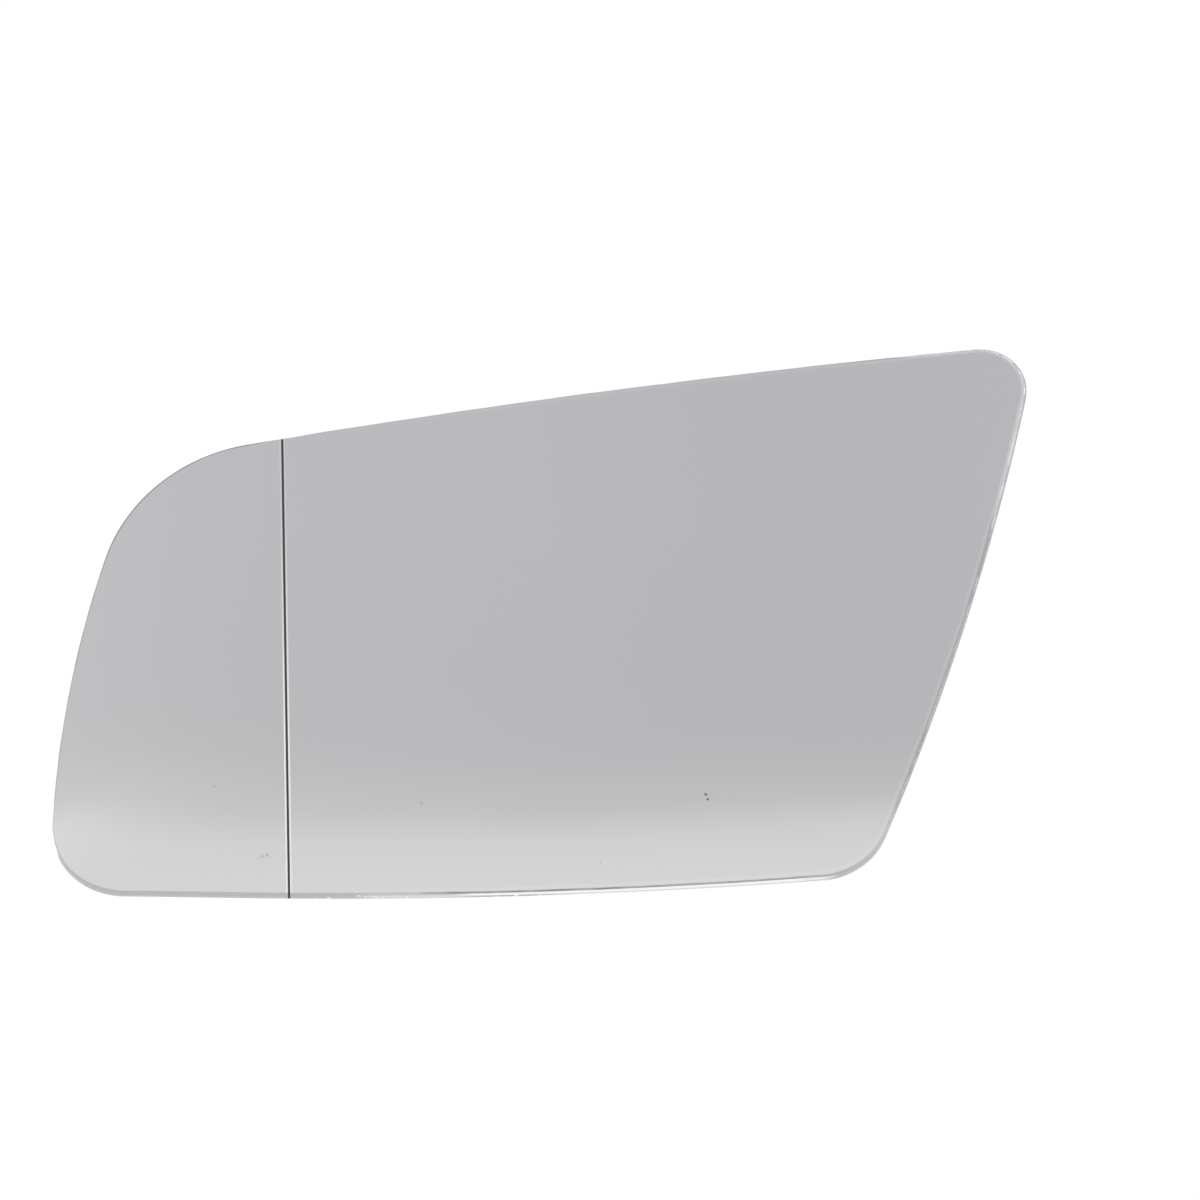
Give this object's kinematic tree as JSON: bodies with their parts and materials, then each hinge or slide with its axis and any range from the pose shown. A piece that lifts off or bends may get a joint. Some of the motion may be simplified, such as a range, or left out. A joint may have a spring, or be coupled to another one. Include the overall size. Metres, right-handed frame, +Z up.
{
  "type": "car door mirror glass",
  "caption": "Heated wide-angle glass of a left door mirror on a moulded backing plate with a clip ring, window openings and blade terminals.",
  "frame": {"origin": "on the axis of the mounting ring, in the plane of the seat inside its rim", "axes": "upright as on the door: +Z up, +X towards the car, the mirrored face looks along -Y, the mounting ring opens along +Y"},
  "size_m": [0.1699, 0.0121, 0.1088],
  "materials": {
    "silvered_glass": "silvered convex glass with a ground edge and a thin dark dividing line",
    "film": "light grey satin heating film",
    "foil": "pale printed conductor, satin",
    "terminal_brass": "stamped brass, satin",
    "rivet_metal": "satin metal",
    "black_plastic": "fine-grained matte black moulding"
  },
  "bodies": {
    "root": {"mirror_glass": "silvered_glass", "heater_film": "film", "heater_track": "foil", "terminal_upper": "terminal_brass", "terminal_lower": "terminal_brass", "rivet_upper": "rivet_metal", "rivet_lower": "rivet_metal", "backing_plate": "black_plastic"}
  },
  "joints": []
}
